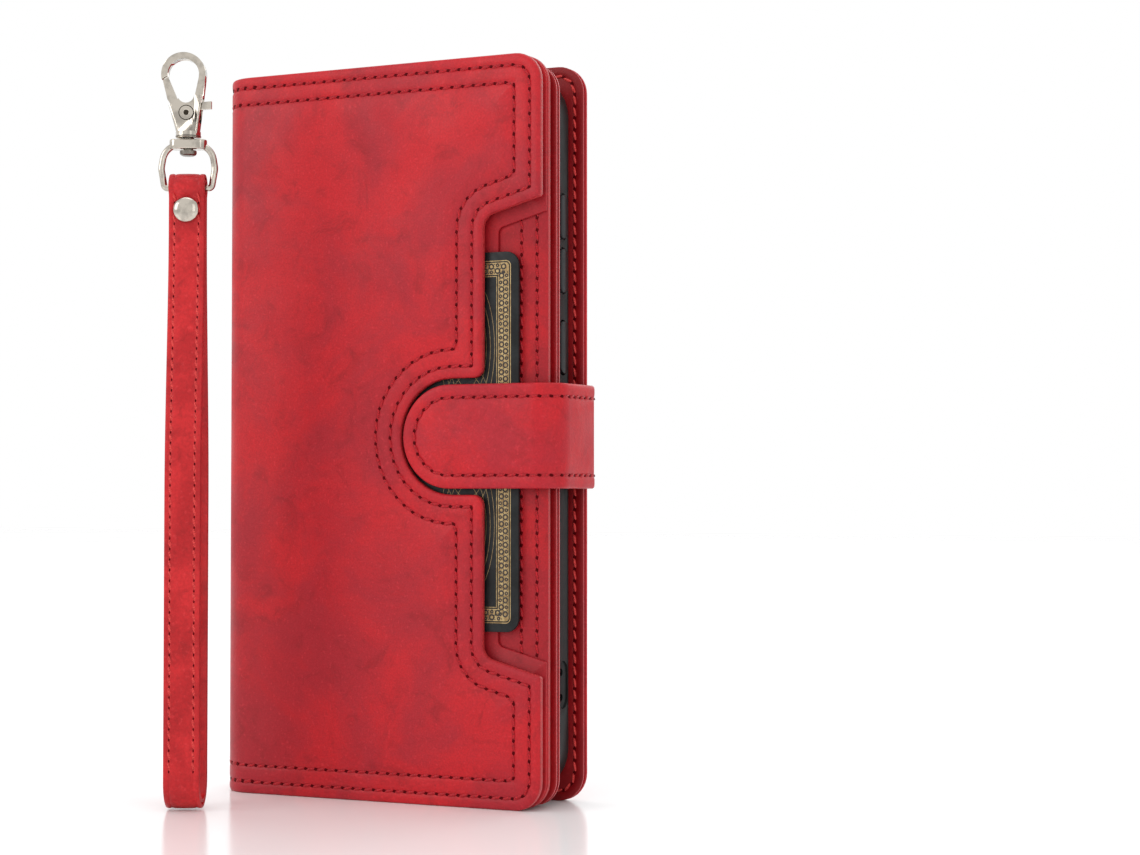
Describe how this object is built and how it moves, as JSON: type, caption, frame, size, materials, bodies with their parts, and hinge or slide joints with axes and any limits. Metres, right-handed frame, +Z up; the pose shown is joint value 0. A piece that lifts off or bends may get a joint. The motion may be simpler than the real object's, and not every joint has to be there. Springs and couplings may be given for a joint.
{
  "type": "phone wallet case",
  "caption": "Folio wallet case with a card window in front, a phone shell inside, a magnetic closing tab, a page of card slots and a leather wrist strap with a swivel clasp.",
  "frame": {"origin": "on the lower edge of the back cover's outer leather, half way along it and half way through it", "axes": "the closed case stands on its lower edge: +Z up, +X towards the opening side, -Y towards the front cover, +Y out of the back cover"},
  "size_m": [0.0901, 0.059, 0.1701],
  "materials": {
    "outer_leather": "satin grained leather",
    "inner_leather": "satin leather",
    "strap_leather": "satin leather",
    "board": "matt",
    "foam": "matt",
    "shell_plastic": "satin",
    "card_plastic": "gloss",
    "nickel": "polished",
    "steel": "satin"
  },
  "bodies": {
    "front_cover": {"front_leather": "outer_leather", "front_padding": "foam", "front_frame": "outer_leather", "front_base": "outer_leather", "front_board": "board", "closure_plate": "steel", "front_lining": "inner_leather"},
    "spine": {"spine_leather": "outer_leather", "spine_lining": "inner_leather", "page_hinge_strip": "inner_leather"},
    "back_cover": {"back_leather": "outer_leather", "back_board": "board", "back_lining": "inner_leather", "phone_shell": "shell_plastic", "eyelet": "nickel", "eyelet_washer": "nickel", "tab_root": "outer_leather"},
    "page": {"page_front_leather": "inner_leather", "page_board": "board", "page_back_leather": "inner_leather", "page_slot_upper": "inner_leather", "page_slot_middle": "inner_leather", "page_slot_lower": "inner_leather"},
    "closure_tab": {"tab_leather": "outer_leather", "tab_lining": "inner_leather", "tab_magnet": "steel"},
    "power_key": {"power_button": "shell_plastic"},
    "volume_down_key": {"volume_down_button": "shell_plastic"},
    "volume_up_key": {"volume_up_button": "shell_plastic"},
    "pocket_card": {"card": "card_plastic"},
    "ring": {"swivel_ring": "nickel"},
    "clasp": {"clasp_body": "nickel", "swivel_post": "nickel", "gate_pin": "nickel", "gate_spring": "steel"},
    "gate": {"gate_lever": "nickel"},
    "strap": {"strap_outer_leather": "strap_leather", "strap_inner_leather": "strap_leather", "rivet_cap": "nickel", "rivet_post": "nickel"}
  },
  "joints": [
    {"name": "spine_fold", "type": "hinge", "parent": "front_cover", "child": "spine", "pos_m": [-0.04154, -0.01969, 0.08475], "axis": [0, 0, 1], "range_deg": [0, 90]},
    {"name": "back_cover_fold", "type": "hinge", "parent": "spine", "child": "back_cover", "pos_m": [-0.0439, -0.00586, 0.08475], "axis": [0, 0, 1], "range_deg": [0, 90]},
    {"name": "page_turn", "type": "hinge", "parent": "spine", "child": "page", "pos_m": [-0.041, -0.0133, 0.08475], "axis": [0, 0, 1], "range_deg": [-45, 0]},
    {"name": "closure_tab_swing", "type": "hinge", "parent": "back_cover", "child": "closure_tab", "pos_m": [0.0433, -0.00105, 0.0835], "axis": [0, 0, 1], "range_deg": [0, 150], "deforming": ["tab_leather", "tab_lining", "tab_magnet"]},
    {"name": "power_press", "type": "slide", "parent": "back_cover", "child": "power_key", "axis": [-1, 0, 0], "range_m": [0, 0.0005], "stiffness_N_per_m": 800},
    {"name": "volume_down_press", "type": "slide", "parent": "back_cover", "child": "volume_down_key", "axis": [-1, 0, 0], "range_m": [0, 0.0005], "stiffness_N_per_m": 800},
    {"name": "volume_up_press", "type": "slide", "parent": "back_cover", "child": "volume_up_key", "axis": [-1, 0, 0], "range_m": [0, 0.0005], "stiffness_N_per_m": 800},
    {"name": "card_slide", "type": "slide", "parent": "front_cover", "child": "pocket_card", "axis": [1, 0, 0], "range_m": [0, 0.045]},
    {"name": "strap_lift", "type": "slide", "parent": "front_cover", "child": "ring", "axis": [0, 0, 1], "range_m": [0, 0.15]},
    {"name": "clasp_swivel", "type": "hinge", "parent": "ring", "child": "clasp", "pos_m": [-0.0326, -0.0508, 0.15], "axis": [0, 0, 1], "continuous": true},
    {"name": "gate_swing", "type": "hinge", "parent": "clasp", "child": "gate", "pos_m": [-0.03278, -0.05089, 0.1563], "axis": [-0.4384, 0.8988, 0], "range_deg": [0, 20], "stiffness_Nm_per_rad": 0.05, "springref_deg": -11.46},
    {"name": "strap_hang", "type": "hinge", "parent": "ring", "child": "strap", "pos_m": [-0.0326, -0.0508, 0.13945], "axis": [0.8988, 0.4384, 0], "range_deg": [-60, 8]}
  ],
  "couplings": [
    {"joint": "spine_fold", "follows": "back_cover_fold", "ratio": 1},
    {"joint": "page_turn", "follows": "back_cover_fold", "ratio": -0.5}
  ]
}
